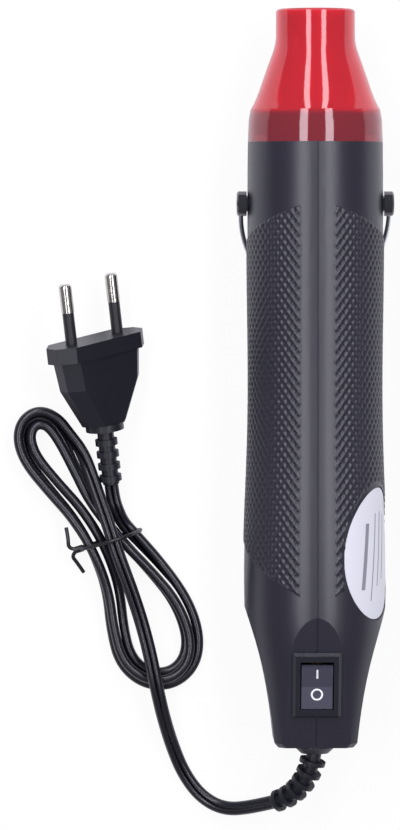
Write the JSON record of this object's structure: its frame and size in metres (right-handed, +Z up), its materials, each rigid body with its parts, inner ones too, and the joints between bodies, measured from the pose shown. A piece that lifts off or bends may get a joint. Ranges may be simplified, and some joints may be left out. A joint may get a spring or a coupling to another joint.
{
  "type": "embossing heat tool",
  "caption": "Slim hot air tool for crafts: black moulded handle with a rocker switch, red flared nozzle guard, folding wire bail and a tied mains cord with a two pole plug.",
  "frame": {"origin": "under the middle of the tool on the table it lies on, midway along its length", "axes": "+Y from the tail to the nozzle, +X to the right seen from the switch side, +Z up, out of the switch side"},
  "size_m": [0.1187, 0.252, 0.044],
  "materials": {
    "body_black": "satin",
    "guard_red": "glossy, translucent",
    "label_white": "satin",
    "wire_chrome": "polished",
    "stud_black": "glossy",
    "steel_zinc": "satin",
    "switch_black": "satin",
    "brass_contact": "plain",
    "iron_dark": "matte",
    "fan_grey": "matte",
    "board_tan": "matte",
    "diode_black": "matte",
    "steel_tube": "satin",
    "ceramic_white": "matte",
    "mica_tan": "matte",
    "coil_metal": "satin",
    "cord_black": "satin",
    "boot_black": "satin",
    "pin_nickel": "polished",
    "sleeve_black": "matte"
  },
  "bodies": {
    "handle": {"shell_left": "body_black", "shell_right": "body_black", "shell_screws": "steel_zinc", "rating_label": "label_white", "nozzle_guard": "guard_red", "switch_housing": "switch_black", "switch_terminals": "brass_contact", "motor_case": "steel_zinc", "motor_endcap": "switch_black", "motor_magnets": "iron_dark", "motor_mount": "fan_grey", "motor_screws": "steel_zinc", "rectifier_board": "board_tan", "motor_terminals": "brass_contact", "diodes": "diode_black", "air_funnel": "fan_grey", "outlet_tube": "steel_tube", "heat_ring": "ceramic_white", "heater_frame": "mica_tan", "heater_coil": "coil_metal", "mica_sleeve": "mica_tan", "thermostat": "steel_zinc", "thermal_fuse": "steel_zinc", "cord_clamp": "fan_grey", "clamp_screws": "steel_zinc", "internal_wires": "cord_black", "cord_boot": "boot_black", "cord_lead": "cord_black", "cord_hank": "cord_black", "cord_tail": "cord_black", "twist_tie": "cord_black", "plug_body": "boot_black", "plug_pins": "pin_nickel", "pin_sleeves": "sleeve_black"},
    "bail": {"bail_wire": "wire_chrome", "pivot_stud_left": "stud_black", "pivot_stud_right": "stud_black", "stud_clips": "steel_zinc"},
    "rocker": {"switch_rocker": "switch_black"},
    "contact": {"switch_contact": "brass_contact"},
    "rotor": {"motor_shaft": "steel_zinc", "motor_armature": "iron_dark", "fan_impeller": "fan_grey"}
  },
  "joints": [
    {"name": "bail_swing", "type": "hinge", "parent": "handle", "child": "bail", "pos_m": [0, 0.054, 0.022], "axis": [1, 0, 0], "range_deg": [0, 100]},
    {"name": "rocker_tilt", "type": "hinge", "parent": "handle", "child": "rocker", "pos_m": [0, -0.09319, 0.03671], "axis": [1, 0, 0], "range_deg": [-16, 0]},
    {"name": "contact_tilt", "type": "hinge", "parent": "handle", "child": "contact", "pos_m": [0, -0.0916, 0.0301], "axis": [1, 0, 0], "range_deg": [0, 10]},
    {"name": "rotor_spin", "type": "hinge", "parent": "handle", "child": "rotor", "pos_m": [0, 0, 0.022], "axis": [0, 1, 0], "continuous": true}
  ],
  "couplings": [
    {"joint": "contact_tilt", "follows": "rocker_tilt", "ratio": -0.625}
  ]
}
